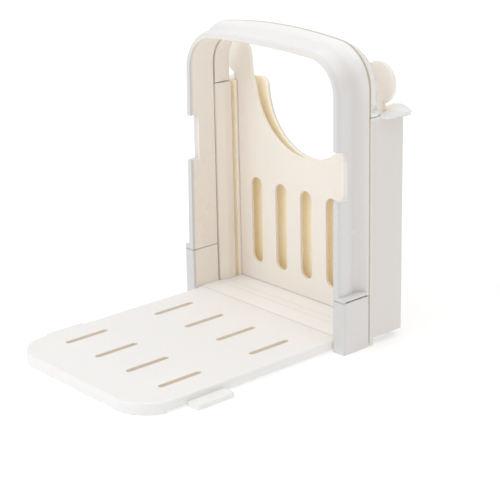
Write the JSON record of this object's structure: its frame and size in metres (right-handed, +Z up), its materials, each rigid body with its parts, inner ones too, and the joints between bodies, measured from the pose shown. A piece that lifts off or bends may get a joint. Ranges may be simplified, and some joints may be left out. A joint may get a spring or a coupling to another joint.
{
  "type": "bread slicer guide",
  "caption": "Foldable bread slicing guide: slotted board that folds up, hooped front and rear arches with a knife gap, grooved housing and lift-out stop panel that sets slice thickness.",
  "frame": {"origin": "on the table, at the middle of the outline in X and Y with the board laid open", "axes": "+Z up, +X across the guide, +Y from the board towards the housing, so the board points to -Y"},
  "size_m": [0.1578, 0.1978, 0.1882],
  "materials": {
    "board_plastic": "moulded ivory white, satin top face",
    "base_plastic": "moulded ivory white, satin",
    "arch_plastic": "moulded ivory white, polished",
    "housing_plastic": "moulded ivory white, fine satin",
    "panel_plastic": "moulded ivory white, satin",
    "screw_steel": "stainless",
    "pad_silicone": "translucent silicone, matt"
  },
  "bodies": {
    "frame": {"base_frame": "base_plastic", "guide_housing": "housing_plastic", "front_arch": "arch_plastic", "rear_arch": "arch_plastic", "arch_screws": "screw_steel", "housing_screws": "screw_steel", "rear_pads": "pad_silicone"},
    "board": {"folding_board": "board_plastic"},
    "panel": {"stop_panel": "panel_plastic"}
  },
  "joints": [
    {"name": "board_fold", "type": "hinge", "parent": "frame", "child": "board", "pos_m": [0, 0.04985, 0.0056], "axis": [-1, 0, 0], "range_deg": [0, 90]},
    {"name": "panel_lift", "type": "slide", "parent": "frame", "child": "panel", "axis": [0, 0, 1], "range_m": [0, 0.14]}
  ]
}
